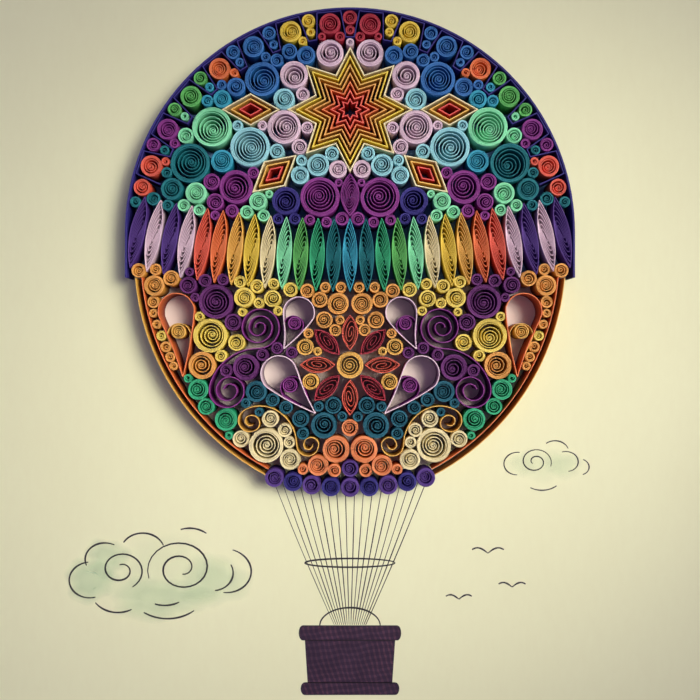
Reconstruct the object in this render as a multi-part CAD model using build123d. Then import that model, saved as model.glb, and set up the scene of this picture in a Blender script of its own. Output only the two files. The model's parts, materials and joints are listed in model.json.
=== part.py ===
from build123d import *
import math
import os

# A quilled paper picture of a hot-air balloon. It lies flat on its back: the card is
# in the XY plane with its underside at Z = 0, and the top of the picture is toward +Y.
# Paper strips stand on edge on the card, rolled, folded or bent to shape.
# All lengths are in millimetres, and bearings are degrees clockwise from +Y.

os.makedirs("parts", exist_ok=True)

# Card and paper strips
card_side = 304.8
card_thickness = 1.5
strip_width = 10.0
strip_thickness = 0.4
glue_gap = 0.12

# Flats that stand for a curve in the rolled pieces
coil_flat_count = 14
leaf_flat_count = 6
scroll_flat_angle = 36.0
scroll_flat_length = 4.0

# Dome: one doubled strip over the top, with short straight legs beside the leaf band
dome_radius = 90.0
dome_centre_y = 47.0
rim_thickness = 0.8
rim_leg_length = 18.0

# Folded border inside the rim, one rolled bead in each pocket
border_depth = 10.5
border_end_bearing = 77.0
border_cell_count = 14
outer_fold_share = 0.56
inner_fold_share = 0.22

# Sun of nested folded strips, and four lozenge rays
sun_point_count = 8
sun_tip_radius = 25.0
sun_notch_share = 0.6
sun_heart_radius = 4.6
sun_space = 4.0
ray_half_width = 6.4
ray_space = 3.2
ray_strip_share = 0.3
ray_border_space = 9.5
ray_band_space = 8.0

# Band of pinched leaves on a gentle curve
leaf_count = 27
leaf_length = 30.0
leaf_space = 0.5
band_low_y = 38.0
band_sag = 10.0

# Bowl below the band
bowl_top_space = 4.0
mouth_half_width = 34.0
mouth_y = -50.0
bowl_bulge = 12.0
outline_space = 2.6

# Leaf that hangs from the sun
pendant_width = 7.6

# Flower in the bowl
flower_centre_y = -6.0
flower_eye_radius = 5.4
petal_count = 8
petal_length = 15.0
petal_width = 6.6

# Scrolls in the bowl, each a start, a heading and a chain of bends
purple_scroll_start = (38.0, 9.0)
purple_scroll_heading = 90.0
purple_scroll_bends = [(2.0, 180), (3.2, 180), (4.6, 180), (6.0, 180), (7.4, 180), (8.4, 90),
                       (20.0, -75), (7.0, -180), (5.6, -180), (4.2, -180), (2.8, -180)]
gold_scroll_start = (15.0, -38.0)
gold_scroll_heading = 270.0
gold_scroll_bends = [(1.8, 180), (3.0, 180), (4.4, 180), (16.0, -60), (13.0, -60), (4.6, -180),
                     (3.2, -180), (2.0, -180)]

# Open loops in the bowl, each a head place, a head radius, the tail's bearing and length, and its bend
lilac_loops = [((28.5, -9.5), 7.4, 215.0, 22.0, 3.0), ((20.5, 15.0), 6.4, 168.0, 16.0, -3.0)]
orange_loops = [((69.5, 15.5), 7.4, 192.0, 27.0, -3.0)]
loop_flat_count = 8

# Row of coils along the mouth
mouth_coil_count = 9
mouth_sag = 5.0

# Rolled coils packed into the free areas
dome_coil_radii = [7.8, 5.4, 6.6, 4.2, 3.4]
bowl_coil_radii = [6.8, 5.2, 4.0]
coil_growth = 0.8
coil_smallest = 3.3
grid_step = 0.8

# Places worked out from the sizes above
dome_centre = (0.0, dome_centre_y)
flower_centre = (0.0, flower_centre_y)
rim_inner_radius = dome_radius - rim_thickness
band_radius = (rim_inner_radius ** 2 + band_sag ** 2) / (2 * band_sag)
end_leaf_lean = math.asin(rim_inner_radius / band_radius)
end_leaf_reach = (leaf_length * math.tan(end_leaf_lean)) ** 2 * leaf_count / (16 * rim_inner_radius)
band_half_span = rim_inner_radius - glue_gap - end_leaf_reach
band_centre = (0.0, band_low_y + band_radius)
leaf_pitch = math.degrees(2 * math.asin(band_half_span / band_radius)) / leaf_count
leaf_width = 2 * band_radius * math.sin(math.radians(leaf_pitch / 2)) - leaf_space


def polar(radius, bearing, centre):
    """A point at a bearing round a centre."""
    turn = math.radians(bearing)
    return centre[0] + radius * math.sin(turn), centre[1] + radius * math.cos(turn)


def stand(face):
    """Raise a flat section into strips that stand on the card."""
    return extrude(Pos(0, 0, card_thickness) * face, amount=strip_width, dir=(0, 0, 1))


def outline_face(points):
    return make_face(Polyline(*points, close=True))


def coil_face(centre, radius):
    """A closed coil, with its round outside drawn as flats."""
    return Pos(*centre) * RegularPolygon(radius, coil_flat_count)


def mirrored(solid):
    return mirror(solid, about=Plane.YZ)


def beside_fold(before, point, after, distance):
    """The place beside a fold, on its mitre, at a distance to the left of both its sides."""
    headings = []
    for start, end in ((before, point), (point, after)):
        length = math.dist(start, end)
        if length > 0:
            headings.append(((end[0] - start[0]) / length, (end[1] - start[1]) / length))
    across = (-sum(h[1] for h in headings), sum(h[0] for h in headings))
    reach = distance * len(headings) / math.hypot(*across) ** 2
    return point[0] + reach * across[0], point[1] + reach * across[1]


def folded_strip(points, thickness):
    """A strip of constant thickness along a run of folds, with mitred corners."""
    befores = points[:1] + points[:-1]
    afters = points[1:] + points[-1:]
    left, right = [[beside_fold(*fold, distance) for fold in zip(befores, points, afters)]
                   for distance in (thickness / 2, -thickness / 2)]
    return outline_face(left + right[::-1])


def closed_strip(points):
    """A strip bent round to its own start, inside a clockwise outline."""
    folds = zip(points[-1:] + points[:-1], points, points[1:] + points[:1])
    return outline_face(points) - outline_face([beside_fold(*fold, -strip_thickness) for fold in folds])


def scroll_places(start, heading, bends):
    """Fold points along a chain of tangent arcs, each a radius and a signed angle."""
    places = [start]
    bearing = 90 - heading
    for radius, angle in bends:
        side = 90 if angle < 0 else -90
        centre = polar(radius, bearing + side, places[-1])
        flats = math.ceil(max(abs(angle) / scroll_flat_angle, radius * math.radians(abs(angle)) / scroll_flat_length))
        for flat in range(1, flats + 1):
            places.append(polar(radius, bearing - side - angle * flat / flats, centre))
        bearing -= angle
    return places


# Dome rim
rim_foot_y = dome_centre_y - rim_leg_length


def rim_face():
    """The rim's section: a half ring with two straight legs."""
    edges = []
    for radius in (dome_radius, rim_inner_radius):
        left = (-radius, dome_centre_y)
        right = (radius, dome_centre_y)
        edges.append(Line((-radius, rim_foot_y), left))
        edges.append(ThreePointArc(left, (0, dome_centre_y + radius), right))
        edges.append(Line(right, (radius, rim_foot_y)))
    edges.append(Line((-dome_radius, rim_foot_y), (-rim_inner_radius, rim_foot_y)))
    edges.append(Line((dome_radius, rim_foot_y), (rim_inner_radius, rim_foot_y)))
    return make_face(edges)


# Folded border
border_outer = rim_inner_radius - glue_gap - strip_thickness
border_inner = border_outer - border_depth
cell_bearing = 2 * border_end_bearing / border_cell_count


def border_points():
    """Fold points: a flat fold against the rim, a slope, a flat inner fold and a slope."""
    points = []
    for cell in range(border_cell_count):
        middle = -border_end_bearing + (cell + 0.5) * cell_bearing
        outer_half = outer_fold_share * cell_bearing / 2
        inner_half = (1 - inner_fold_share) * cell_bearing / 2
        points.append(polar(border_inner, middle - inner_half, dome_centre))
        points.append(polar(border_outer, middle - outer_half, dome_centre))
        points.append(polar(border_outer, middle + outer_half, dome_centre))
        points.append(polar(border_inner, middle + inner_half, dome_centre))
    return points


pocket_half_width = border_outer * math.sin(math.radians(outer_fold_share * cell_bearing / 2))
pocket_top = border_outer * math.cos(math.radians(outer_fold_share * cell_bearing / 2))
bead_radius = min(pocket_half_width, border_depth / 2) - strip_thickness - glue_gap
bead_distance = pocket_top - strip_thickness - glue_gap - bead_radius


# Sun and rays
sun_centre_y = dome_centre_y + border_inner - sun_space - sun_tip_radius
sun_centre = (0.0, sun_centre_y)


def star_points(tip_radius):
    """A star outline whose edges all lie at the same distance from its centre."""
    points = []
    for corner in range(2 * sun_point_count):
        radius = tip_radius if corner % 2 == 0 else tip_radius * sun_notch_share
        points.append(polar(radius, corner * 180 / sun_point_count, sun_centre))
    return points


def star_edge_distance(tip_radius):
    tip = (0.0, tip_radius)
    notch = polar(tip_radius * sun_notch_share, 180 / sun_point_count, (0.0, 0.0))
    return tip_radius * notch[0] / math.dist(tip, notch)


def star_ring(tip_radius):
    inner = tip_radius * (1 - strip_thickness / star_edge_distance(tip_radius))
    return outline_face(star_points(tip_radius)) - outline_face(star_points(inner))


sun_drop = sun_centre_y - dome_centre_y
ray_reach = math.sqrt(border_inner ** 2 - sun_drop ** 2) - ray_border_space
ray_half_length = (ray_reach - sun_tip_radius - ray_space) / 2
ray_distance = ray_reach - ray_half_length


def bearing_to_circle(radius, centre):
    """Bearing from the sun at which a ray's tip lies on a circle about a centre above the sun."""
    apart = centre[1] - sun_centre_y
    cosine = (apart ** 2 + ray_reach ** 2 - radius ** 2) / (2 * apart * ray_reach)
    return math.degrees(math.acos(min(max(cosine, -1.0), 1.0)))


ray_bearings = [90.0, bearing_to_circle(band_radius - leaf_length / 2 - ray_band_space, band_centre)]
ray_edge_distance = ray_half_length * ray_half_width / math.hypot(ray_half_length, ray_half_width)


def ray_points(bearing, share):
    """A lozenge that points away from the sun, scaled about its own middle."""
    middle = polar(ray_distance, bearing, sun_centre)
    points = []
    for reach, turn in ((ray_half_length, 0), (ray_half_width, 90), (ray_half_length, 180), (ray_half_width, 270)):
        points.append(polar(reach * share, bearing + turn, middle))
    return points


def ray_ring(bearing, share):
    inner = share - strip_thickness / ray_edge_distance
    return outline_face(ray_points(bearing, share)) - outline_face(ray_points(bearing, inner))


# Leaves and petals
def pinched_leaf(middle, bearing, length, width):
    """A coil pinched at both ends: two bowed sides that meet in points."""
    points = []
    for side in (1, -1):
        for index in range(leaf_flat_count):
            share = side * (1 - 2 * index / leaf_flat_count)
            spine = polar(share * length / 2, bearing, middle)
            points.append(polar(side * (1 - share ** 2) * width / 2, bearing + 90, spine))
    return outline_face(points)


def leaf_middle(index):
    return polar(band_radius, 180 - index * leaf_pitch, band_centre)


def band_leaf(index):
    return pinched_leaf(leaf_middle(index), -index * leaf_pitch, leaf_length, leaf_width)


petal_distance = flower_eye_radius + glue_gap + petal_length / 2


def petal(index):
    bearing = index * 360 / petal_count
    return pinched_leaf(polar(petal_distance, bearing, flower_centre), bearing, petal_length, petal_width)


# Bowl outline
bowl_top = (dome_radius - bowl_top_space, rim_foot_y - glue_gap)
mouth_corner = (mouth_half_width, mouth_y)
bowl_chord = math.dist(bowl_top, mouth_corner)
bowl_radius = (bowl_chord ** 2 / 4 + bowl_bulge ** 2) / (2 * bowl_bulge)
bowl_half_angle = math.asin(bowl_chord / 2 / bowl_radius)
bowl_lean = math.atan2(bowl_top[0] - mouth_corner[0], bowl_top[1] - mouth_corner[1])
bowl_middle = ((bowl_top[0] + mouth_corner[0]) / 2, (bowl_top[1] + mouth_corner[1]) / 2)
bowl_centre = polar(bowl_radius - bowl_bulge, math.degrees(bowl_lean) - 90, bowl_middle)


def bowl_strip(radius):
    """A strip along the bowl's side, on an arc about the bowl's own centre."""
    middle_bearing = math.degrees(bowl_lean) + 90
    reach = math.degrees(bowl_half_angle)
    edges = []
    ends = []
    for arc_radius in (radius, radius - strip_thickness):
        bearings = (middle_bearing - reach, middle_bearing, middle_bearing + reach)
        places = [polar(arc_radius, bearing, bowl_centre) for bearing in bearings]
        edges.append(ThreePointArc(*places))
        ends.append((places[0], places[2]))
    edges.append(Line(ends[0][0], ends[1][0]))
    edges.append(Line(ends[0][1], ends[1][1]))
    return make_face(edges)


# Open loops
def loop_points(head, radius, bearing, tail, bend):
    """A round head and two sides that meet in a tail, which bends aside with the square of its reach."""
    start = math.degrees(math.acos(radius / tail))
    touch = (radius * math.cos(math.radians(start)), radius * math.sin(math.radians(start)))
    places = [(tail, 0.0), ((tail + touch[0]) / 2, touch[1] / 2)]
    for flat in range(loop_flat_count + 1):
        turn = math.radians(start + flat * (360 - 2 * start) / loop_flat_count)
        places.append((radius * math.cos(turn), radius * math.sin(turn)))
    places.append(((tail + touch[0]) / 2, -touch[1] / 2))
    points = []
    for along, aside in places:
        spine = polar(along, bearing, head)
        points.append(polar(aside + bend * (max(along, 0) / tail) ** 2, bearing + 90, spine))
    return points


# Mouth row
mouth_radius = (mouth_half_width ** 2 + mouth_sag ** 2) / (2 * mouth_sag)
mouth_centre = (0.0, mouth_y - mouth_sag + mouth_radius)
mouth_pitch = math.degrees(2 * math.asin(mouth_half_width / mouth_radius)) / mouth_coil_count
mouth_coil_radius = mouth_radius * math.sin(math.radians(mouth_pitch / 2)) - glue_gap / 2
mouth_places = [polar(mouth_radius, 180 - index * mouth_pitch, mouth_centre) for index in range(mouth_coil_count // 2 + 1)]


# Packing of the rolled coils, worked out for the right half and mirrored
def segment_distance(place, start, end):
    run = (end[0] - start[0], end[1] - start[1])
    share = ((place[0] - start[0]) * run[0] + (place[1] - start[1]) * run[1]) / (run[0] ** 2 + run[1] ** 2)
    share = min(max(share, 0.0), 1.0)
    return math.dist(place, (start[0] + share * run[0], start[1] + share * run[1]))


def outline_distance(place, points):
    """Distance from a place to a closed outline, or -1 inside it."""
    inside = False
    nearest = math.inf
    for start, end in zip(points, points[1:] + points[:1]):
        nearest = min(nearest, segment_distance(place, start, end))
        if (start[1] > place[1]) != (end[1] > place[1]):
            crossing = start[0] + (place[1] - start[1]) * (end[0] - start[0]) / (end[1] - start[1])
            inside = inside != (place[0] < crossing)
    return -1.0 if inside else nearest


def pack_coils(radii, gaps, box):
    """Coils of the given radii in turn, each put where it fits most snugly among its neighbours."""
    left, right, bottom, top = box
    grid = []
    for row in range(int((top - bottom) / grid_step)):
        for column in range(int((right - left) / grid_step)):
            place = (left + column * grid_step, bottom + row * grid_step)
            nearest = sorted(gaps(place) + [place[0] - glue_gap / 2])[:3]
            if nearest[0] >= coil_smallest:
                grid.append((place, nearest))
    coils = []
    waiting = list(radii)
    while waiting:
        radius = waiting.pop(0)
        fitting = [entry for entry in grid if entry[1][0] >= radius]
        if not fitting:
            continue
        place, nearest = min(fitting, key=lambda entry: (round(sum(entry[1]), 2), entry[0]))
        size = min(nearest[0], radius + coil_growth)
        coils.append((place, size))
        waiting.append(radius)
        for other, others_nearest in grid:
            others_nearest.append(math.dist(place, other) - size - glue_gap)
            others_nearest.sort()
            others_nearest.pop()
        grid = [entry for entry in grid if entry[1][0] >= coil_smallest]
    return coils


sun_outline = star_points(sun_tip_radius)
ray_outlines = [ray_points(bearing, 1) for bearing in ray_bearings]
pendant_length = sun_centre_y - sun_tip_radius - band_low_y - leaf_length / 2 - 2 * glue_gap
pendant_middle = (0.0, sun_centre_y - sun_tip_radius - glue_gap - pendant_length / 2)


def dome_gaps(place):
    """Free distance from a place in the dome to each thing round it."""
    gaps = [border_inner - strip_thickness - math.dist(place, dome_centre),
            band_radius - leaf_length / 2 - math.dist(place, band_centre)]
    if min(gaps) > coil_smallest:
        gaps += [outline_distance(place, outline) for outline in [sun_outline] + ray_outlines]
        for share in (-0.25, 0, 0.25):
            spot = (0.0, pendant_middle[1] + share * pendant_length)
            gaps.append(math.dist(place, spot) - pendant_width / 2)
    return [gap - glue_gap for gap in gaps]


purple_scroll = scroll_places(purple_scroll_start, purple_scroll_heading, purple_scroll_bends)
gold_scroll = scroll_places(gold_scroll_start, gold_scroll_heading, gold_scroll_bends)
loop_outlines = [loop_points(*loop) for loop in lilac_loops + orange_loops]


def bowl_gaps(place):
    """Free distance from a place in the bowl to each thing round it."""
    gaps = [bowl_radius - outline_space - strip_thickness - math.dist(place, bowl_centre),
            math.dist(place, band_centre) - band_radius - leaf_length / 2,
            math.dist(place, flower_centre) - petal_distance - petal_length / 2,
            mouth_radius - mouth_coil_radius - math.dist(place, mouth_centre)]
    if min(gaps) > coil_smallest:
        for scroll in (purple_scroll, gold_scroll):
            gaps.append(min(segment_distance(place, *ends) for ends in zip(scroll, scroll[1:])) - strip_thickness)
        gaps += [outline_distance(place, outline) for outline in loop_outlines]
    return [gap - glue_gap for gap in gaps]


dome_box = (0.0, dome_radius, band_low_y, dome_centre_y + dome_radius)
bowl_box = (0.0, dome_radius, mouth_y - mouth_sag, band_low_y)
dome_coils = pack_coils(dome_coil_radii, dome_gaps, dome_box)
bowl_coils = pack_coils(bowl_coil_radii, bowl_gaps, bowl_box)


def share_out(coils, key, colours):
    """Sort the coils by a measure and share them out among a run of colours, in order."""
    ranked = sorted(coils, key=key)
    for rank, coil in enumerate(ranked):
        yield colours[rank * len(colours) // len(ranked)], coil


def sun_measure(coil):
    """Grows outwards from the sun."""
    return math.dist(coil[0], sun_centre)


def height_measure(coil):
    return coil[0][1]


# Colours of the dome from the sun outwards, and of the bowl from the mouth upwards
dome_colours = ["lilac", "aqua", "lilac", "aqua", "lilac", "blue", "aqua", "purple", "blue", "aqua", "indigo", "blue",
                "turquoise", "mint", "purple", "turquoise", "mint", "teal", "mint", "teal"]
bowl_colours = ["apricot", "cream", "apricot", "cream", "petrol", "sea_green", "petrol", "sea_green", "plum", "amber",
                "lemon", "amber", "plum", "lemon", "amber"]

pieces = {}


def add(node, face, both_sides=False):
    """Put a standing piece, and its mirror image where there is one, into a node."""
    solids = pieces.setdefault(node, [])
    solid = stand(face)
    solids.append(solid)
    if both_sides:
        solids.append(mirrored(solid))


pieces["backing_card"] = [Pos(0, 0, card_thickness / 2) * Box(card_side, card_side, card_thickness)]
add("dome_rim_strip", rim_face())
add("folded_border_strip", folded_strip(border_points(), strip_thickness))

bead_colours = ["crimson", "yellow", "blue", "orange", "green", "purple", "coral"]
for cell in range(border_cell_count // 2):
    bearing = (cell + 0.5) * cell_bearing
    colour = bead_colours[cell % len(bead_colours)]
    add(colour + "_border_beads", coil_face(polar(bead_distance, bearing, dome_centre), bead_radius), True)

sun_colours = ["cream", "yellow", "gold", "amber", "orange", "coral", "red"]
sun_strip_step = (sun_tip_radius - sun_heart_radius) / (len(sun_colours) - 1)
for index, colour in enumerate(sun_colours):
    add("sun_" + colour + "_strip", star_ring(sun_tip_radius - index * sun_strip_step))

ray_colours = ["cream", "gold", "red"]
for index, colour in enumerate(ray_colours):
    for bearing in ray_bearings:
        add("ray_" + colour + "_strips", ray_ring(bearing, 1 - index * ray_strip_share), True)

leaf_colours = ["turquoise", "teal", "sea_green", "green", "mint", "cream", "yellow", "gold",
                "orange", "coral", "lilac", "violet", "lilac", "violet"]
for index, colour in enumerate(leaf_colours[:leaf_count // 2 + 1]):
    add(colour + "_band_leaves", band_leaf(index), index > 0)

add("flower_eye_coil", coil_face(flower_centre, flower_eye_radius))
for index in range(petal_count):
    add("crimson_petals" if index % 2 else "coral_petals", petal(index))

add("gold_bowl_strips", bowl_strip(bowl_radius), True)
add("orange_bowl_strips", bowl_strip(bowl_radius - outline_space), True)

add("sun_pendant_leaf", pinched_leaf(pendant_middle, 0, pendant_length, pendant_width))
add("purple_scrolls", folded_strip(purple_scroll, strip_thickness), True)
add("gold_scrolls", folded_strip(gold_scroll, strip_thickness), True)
for colour, loops in (("lilac", lilac_loops), ("orange", orange_loops)):
    for loop in loops:
        add(colour + "_open_loops", closed_strip(loop_points(*loop)), True)
for index, place in enumerate(mouth_places):
    add("indigo_mouth_coils" if index % 2 else "violet_mouth_coils", coil_face(place, mouth_coil_radius), index > 0)
for colour, coil in share_out(dome_coils, sun_measure, dome_colours):
    add(colour + "_dome_coils", coil_face(*coil), True)
for colour, coil in share_out(bowl_coils, height_measure, bowl_colours):
    add(colour + "_bowl_coils", coil_face(*coil), True)

for node, solids in pieces.items():
    export_step(solids[0] if len(solids) == 1 else Compound(solids), "parts/" + node + ".step")
print(len(pieces), "nodes,", sum(len(solids) for solids in pieces.values()), "solids")
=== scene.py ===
# %% [markdown]
# # A quilled paper balloon
# Quilling is made from long strips of coloured paper, stood on edge and rolled, pinched or folded. The
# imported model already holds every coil, leaf and folded strip in its place, as a plain solid. This lesson
# reads those places from the frame, and puts real turns of paper there. Each shape is one path with one
# cross-section carried along it, which is just how the paper itself behaves.

# %% Tools and frame
import json
import math

import bpy
import numpy as np
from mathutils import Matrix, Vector, kdtree


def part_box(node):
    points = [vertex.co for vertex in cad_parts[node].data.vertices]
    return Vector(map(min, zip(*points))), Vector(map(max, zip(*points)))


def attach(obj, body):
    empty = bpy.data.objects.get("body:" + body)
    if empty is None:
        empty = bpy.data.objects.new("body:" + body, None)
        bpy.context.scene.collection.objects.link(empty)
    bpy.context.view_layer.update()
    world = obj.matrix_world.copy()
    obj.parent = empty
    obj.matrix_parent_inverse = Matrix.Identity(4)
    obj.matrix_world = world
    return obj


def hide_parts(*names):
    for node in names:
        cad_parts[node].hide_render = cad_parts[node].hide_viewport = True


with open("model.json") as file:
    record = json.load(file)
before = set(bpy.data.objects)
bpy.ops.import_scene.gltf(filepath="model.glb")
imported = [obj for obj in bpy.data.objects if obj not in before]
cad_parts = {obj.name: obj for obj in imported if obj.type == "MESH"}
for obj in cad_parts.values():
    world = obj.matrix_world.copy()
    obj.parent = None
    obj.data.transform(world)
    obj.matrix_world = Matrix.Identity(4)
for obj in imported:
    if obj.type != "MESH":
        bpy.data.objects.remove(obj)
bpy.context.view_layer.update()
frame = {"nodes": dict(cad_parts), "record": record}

MM = 0.001
chance = np.random.default_rng(7)
print("frame:", len(frame["nodes"]), "nodes")

# %% [markdown]
# ## Reading the solids
# A node may hold several loose solids, and its mesh comes as loose triangles. Corners that share a place
# are joined first. Triangles that share a corner then belong to one solid, which a lowest-label search
# finds: every corner keeps taking the lowest label among its neighbours until nothing changes.

# %% Loose solids of a node
TOUCH_DIGITS = 2


def solids_of(node):
    """The solids of a CAD node, each as (corner places in mm, triangles)."""
    mesh = frame["nodes"][node].data
    mesh.calc_loop_triangles()
    places = np.zeros(len(mesh.vertices) * 3)
    corners = np.zeros(len(mesh.loop_triangles) * 3, int)
    mesh.vertices.foreach_get("co", places)
    mesh.loop_triangles.foreach_get("vertices", corners)
    places = places.reshape(-1, 3) / MM
    rounded = np.round(places, TOUCH_DIGITS)
    _, first, joined = np.unique(rounded, axis=0, return_index=True, return_inverse=True)
    places = places[first]
    triangles = joined.ravel()[corners].reshape(-1, 3)
    label = np.arange(len(places))
    while True:
        before = label.copy()
        np.minimum.at(label, triangles, label[triangles].min(axis=1, keepdims=True))
        if (label == before).all():
            break
    return [(places, triangles[label[triangles[:, 0]] == one]) for one in np.unique(label[triangles])]


print("ray strips of one colour:", len(solids_of("ray_cream_strips")), "solids")

# %% [markdown]
# The rim of a solid's top face is all that the paper needs: a circle for a coil, a lens for a leaf and
# two sides for a strip. An edge on the rim belongs to one top triangle only, so edges that are also met
# the other way round are dropped, and the rest are chained into loops.

# %% Outlines of the top faces
LEVEL = 0.01


def top_loops(places, triangles):
    """Outlines of a solid's top face, longest first, each as places in mm."""
    heights = places[triangles][:, :, 2]
    flat = triangles[(heights > heights.max() - LEVEL).all(axis=1)]
    edges = set(map(tuple, np.vstack([flat[:, [0, 1]], flat[:, [1, 2]], flat[:, [2, 0]]]).tolist()))
    following = {a: b for a, b in edges if (b, a) not in edges}
    loops = []
    while following:
        start, place = following.popitem()
        loop = [start]
        while place != start:
            loop.append(place)
            place = following.pop(place)
        loops.append(places[loop][:, :2])
    return sorted(loops, key=lambda loop: -np.linalg.norm(np.roll(loop, -1, 0) - loop, axis=1).sum())


slot_of = {part["node"]: part["material_slot"] for part in frame["record"]["subparts"]}
paper_nodes = [node for node in sorted(slot_of) if node != "backing_card"]
outlines = {node: [top_loops(*solid) for solid in solids_of(node)] for node in paper_nodes}
strip_low, strip_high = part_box("dome_rim_strip")
CARD_TOP = strip_low.z / MM
STRIP_TOP = strip_high.z / MM
print("outlines:", sum(map(len, outlines.values())), "solids")
print("paper:", round(CARD_TOP, 2), "to", round(STRIP_TOP, 2), "mm high")

# %% [markdown]
# ## Measuring the outlines
# Each kind of outline gives a few numbers. A coil is a centre and a radius. A leaf is its two tips, which
# are the two places farthest apart, and its width. A strip is a middle line between its two long sides.

# %% Circle, lens and middle line
SIDE_PLACES = 120


def circle_of(loop):
    """Centre, and the distance from it to the farthest corner."""
    centre = loop.mean(axis=0)
    return centre, np.linalg.norm(loop - centre, axis=1).max()


def lens_of(loop):
    """Middle, unit direction, length and width of a leaf."""
    apart = np.linalg.norm(loop[:, None] - loop[None], axis=2)
    tip, tail = np.unravel_index(apart.argmax(), apart.shape)
    along = (loop[tip] - loop[tail]) / apart.max()
    middle = (loop[tip] + loop[tail]) / 2
    width = 2 * np.abs((loop - middle) @ np.array([-along[1], along[0]])).max()
    return middle, along, apart.max(), width


def evenly(path, count):
    """Evenly spaced places along an open path."""
    reach = np.concatenate([[0], np.cumsum(np.linalg.norm(np.diff(path, axis=0), axis=1))])
    wanted = np.linspace(0, reach[-1], count)
    return np.column_stack([np.interp(wanted, reach, path[:, axis]) for axis in (0, 1)])


def middle_line(loop):
    """Middle line of an open strip: the two shortest edges of its outline are its ends."""
    lengths = np.linalg.norm(np.roll(loop, -1, 0) - loop, axis=1)
    first, second = sorted(np.argsort(lengths)[:2])
    one = loop[first + 1:second + 1]
    other = np.vstack([loop[second + 1:], loop[:first + 1]])[::-1]
    if len(one) != len(other):
        one, other = (evenly(side, SIDE_PLACES) for side in (one, other))
    return (one + other) / 2


def ring_line(loops):
    """Middle line of a closed strip: each outer corner is joined to the inner corner of the same fold."""
    outer, inner = loops[0], loops[1][::-1]
    turned = [np.roll(inner, shift, 0) for shift in range(len(inner))]
    apart = [np.linalg.norm(outer - one, axis=1).sum() for one in turned]
    return (outer + turned[int(np.argmin(apart))]) / 2


print("rim's middle line:", len(middle_line(outlines["dome_rim_strip"][0][0])), "places")

# %% [markdown]
# The solids keep few faces, so a curl is a chain of short flats. A Catmull-Rom curve passes through every
# joint of the chain and turns it into a smooth curl again.

# %% Smooth curls


def curl(path, between=5):
    """Catmull-Rom curve: between b and c, half of (2b + (c-a)t + (2a-5b+4c-d)t^2 + (3b-a-3c+d)t^3)."""
    padded = np.vstack([2 * path[0] - path[1], path, 2 * path[-1] - path[-2]])
    a, b, c, d = (padded[start:len(padded) - 3 + start, None] for start in range(4))
    t = (np.arange(between) / between)[None, :, None]
    bend = b * 2 + (c - a) * t + (2 * a - 5 * b + 4 * c - d) * t ** 2 + (3 * b - a - 3 * c + d) * t ** 3
    return np.vstack([bend.reshape(-1, 2) / 2, path[-1]])


scroll = middle_line(outlines["gold_scrolls"][0][0])
print("gold scroll:", len(scroll), "places, smoothed to", len(curl(scroll)))

# %% [markdown]
# ## Shader maths
# A finish is easier to read as a formula than as a web of nodes. One small class wraps a socket, so that
# numbers and sockets add and multiply as usual. Every other node comes from one method.

# %% A socket that can be reckoned with


class Amount:
    """A value that changes over a surface; + - * add Math nodes."""

    def __init__(self, recipe, socket):
        self.recipe = recipe
        self.socket = socket

    def math(self, operation, one, other):
        """A Math node of two values."""
        return self.recipe.node("ShaderNodeMath", {"operation": operation}, {0: one, 1: other})

    def __add__(self, other):
        return self.math("ADD", self, other)

    def __sub__(self, other):
        return self.math("SUBTRACT", self, other)

    def __rsub__(self, other):
        return self.math("SUBTRACT", other, self)

    def __mul__(self, other):
        return self.math("MULTIPLY", self, other)

    def __gt__(self, other):
        return self.math("GREATER_THAN", self, other)

    def fraction(self):
        """What is left of the value after its whole part."""
        return self.math("FRACT", self, 0.0)

    __radd__ = __add__
    __rmul__ = __mul__


# %% A recipe for one finish


class Recipe:
    """The node tree of one material."""

    def __init__(self, name):
        self.material = bpy.data.materials.new(name)
        self.material.use_nodes = True
        self.tree = self.material.node_tree
        self.tree.nodes.clear()

    def node(self, kind, settings=None, values=None, output=0):
        """Adds a node: its settings first, then a number, colour or link for each named socket."""
        node = self.tree.nodes.new(kind)
        for name, value in (settings or {}).items():
            setattr(node, name, value)
        for name, value in (values or {}).items():
            if isinstance(value, Amount):
                self.tree.links.new(value.socket, node.inputs[name])
            else:
                node.inputs[name].default_value = value
        return Amount(self, node.outputs[output]) if len(node.outputs) else node

    def attribute(self, name):
        """The value that the mesh holds under a name."""
        return self.node("ShaderNodeAttribute", {"attribute_name": name}, output="Fac")

    def noise(self, scale, detail=2.0, stretch=(1.0, 1.0, 1.0)):
        """Cloudy value from 0 to 1, with about as many clouds to a metre as the scale says."""
        place = self.node("ShaderNodeTexCoord", output="Object")
        place = self.node("ShaderNodeMapping", None, {"Vector": place, "Scale": stretch})
        return self.node("ShaderNodeTexNoise", None, {"Vector": place, "Scale": scale, "Detail": detail})

    def blend(self, share, one, other):
        """One colour where the share is 0, the other where it is 1 or more."""
        return self.node("ShaderNodeMix", {"data_type": "RGBA"}, {0: share, 6: one, 7: other}, 2)

    def matt(self, colour, roughness, bump=None, strength=0.2, alpha=1.0):
        """Matt paper, with a fine relief from the bump value."""
        values = {"Base Color": colour, "Roughness": roughness, "Specular IOR Level": 0.2, "Alpha": alpha}
        if bump is not None:
            values["Normal"] = self.node("ShaderNodeBump", None,
                                         {"Height": bump, "Strength": strength, "Distance": 0.0001})
        surface = self.node("ShaderNodeBsdfPrincipled", None, values)
        self.node("ShaderNodeOutputMaterial", None, {"Surface": surface})
        return self.material


def dye(red, green, blue):
    """A colour in the usual 0 to 255 numbers, as linear light: straight near black, a power above it."""
    share = np.array([red, green, blue]) / 255
    return (*np.where(share <= 0.04045, share / 12.92, ((share + 0.055) / 1.055) ** 2.4).tolist(), 1.0)


print("middle grey as linear light:", round(dye(128, 128, 128)[0], 3))

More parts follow.
